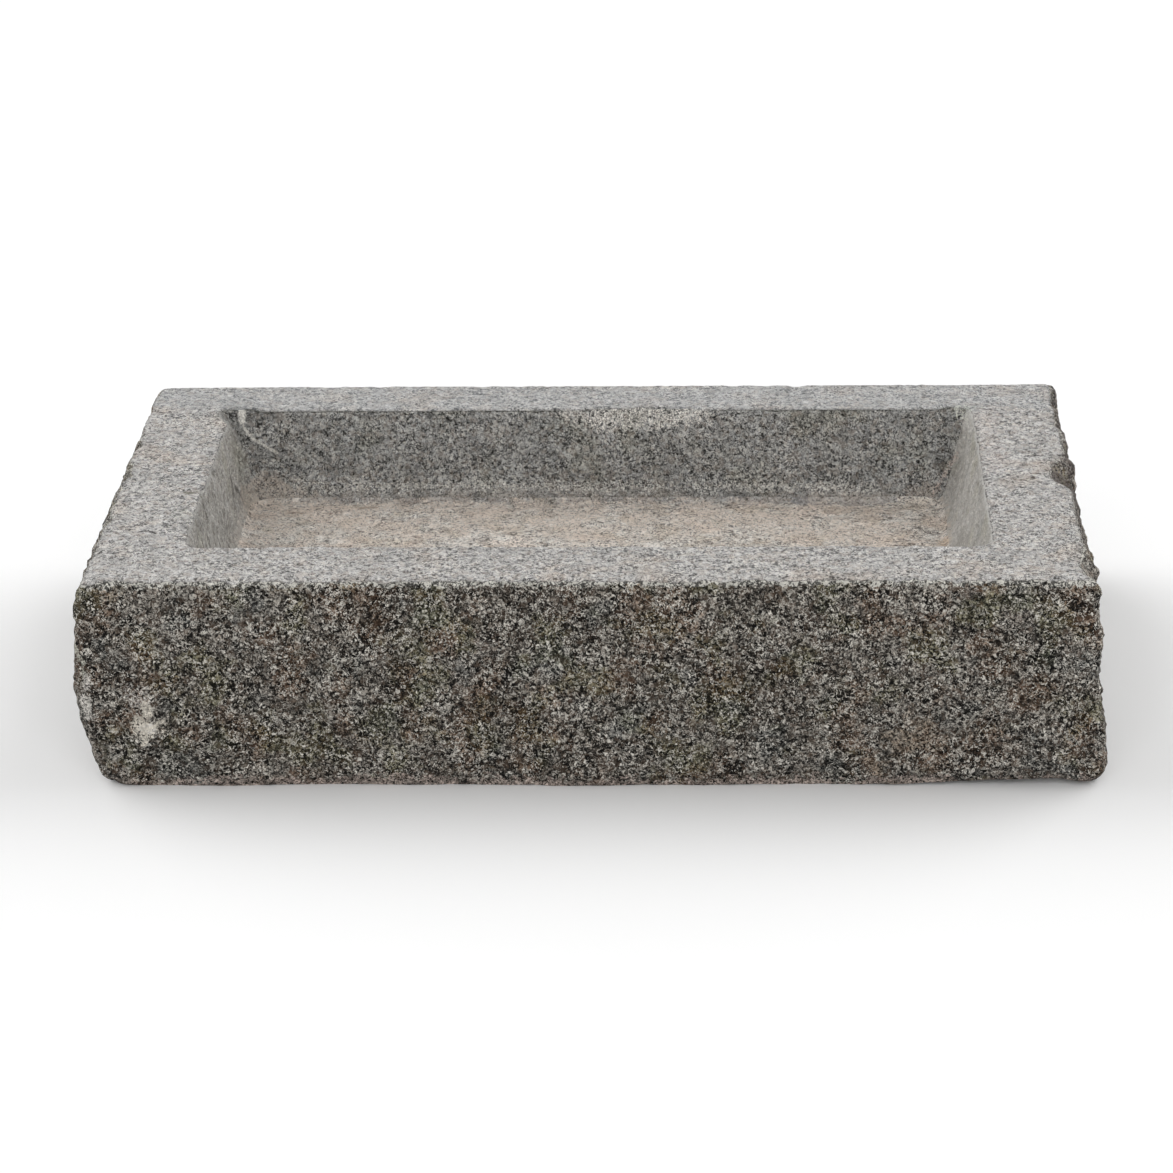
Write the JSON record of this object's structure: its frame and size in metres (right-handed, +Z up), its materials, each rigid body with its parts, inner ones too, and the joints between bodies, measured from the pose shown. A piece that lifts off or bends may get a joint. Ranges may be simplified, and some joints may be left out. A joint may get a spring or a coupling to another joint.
{
  "type": "bird bath",
  "caption": "Rectangular stone bird bath with rough split sides, a flat rim and a shallow rectangular basin with leaning walls.",
  "frame": {"origin": "on the flat bottom face, under the middle of the sawn top", "axes": "+X along the long side to the right, +Y to the back, +Z up out of the basin"},
  "size_m": [0.5211, 0.3142, 0.112],
  "materials": {
    "granite": "grey granite, flamed on top, rough where it is split, with silt on the basin floor"
  },
  "bodies": {
    "root": {"granite_block": "granite"}
  },
  "joints": []
}
